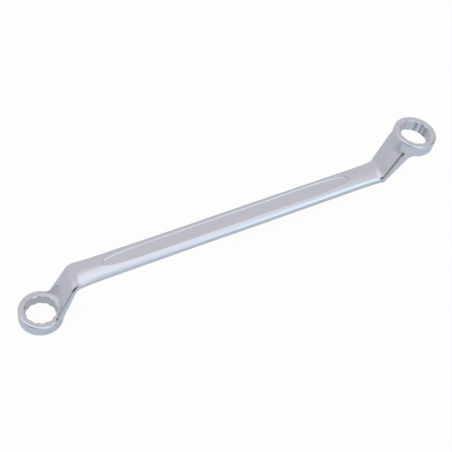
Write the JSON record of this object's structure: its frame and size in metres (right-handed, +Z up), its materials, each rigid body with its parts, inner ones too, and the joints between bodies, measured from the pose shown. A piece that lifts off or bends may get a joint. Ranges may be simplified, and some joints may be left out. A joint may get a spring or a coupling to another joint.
{
  "type": "double ring spanner",
  "caption": "Deep offset double ring spanner: two tilted rings with twelve-point bores, cranked necks and a flat handle with a sunk panel.",
  "frame": {"origin": "on the surface it rests on, under the middle of its bounding box", "axes": "+X along the handle from the larger, lower ring to the smaller, raised ring, +Y across the handle away from the viewer, +Z up from the surface it rests on"},
  "size_m": [0.2608, 0.026, 0.0324],
  "materials": {
    "satin_chrome": "satin chrome plate on forged steel"
  },
  "bodies": {
    "root": {"spanner_forging": "satin_chrome"}
  },
  "joints": []
}
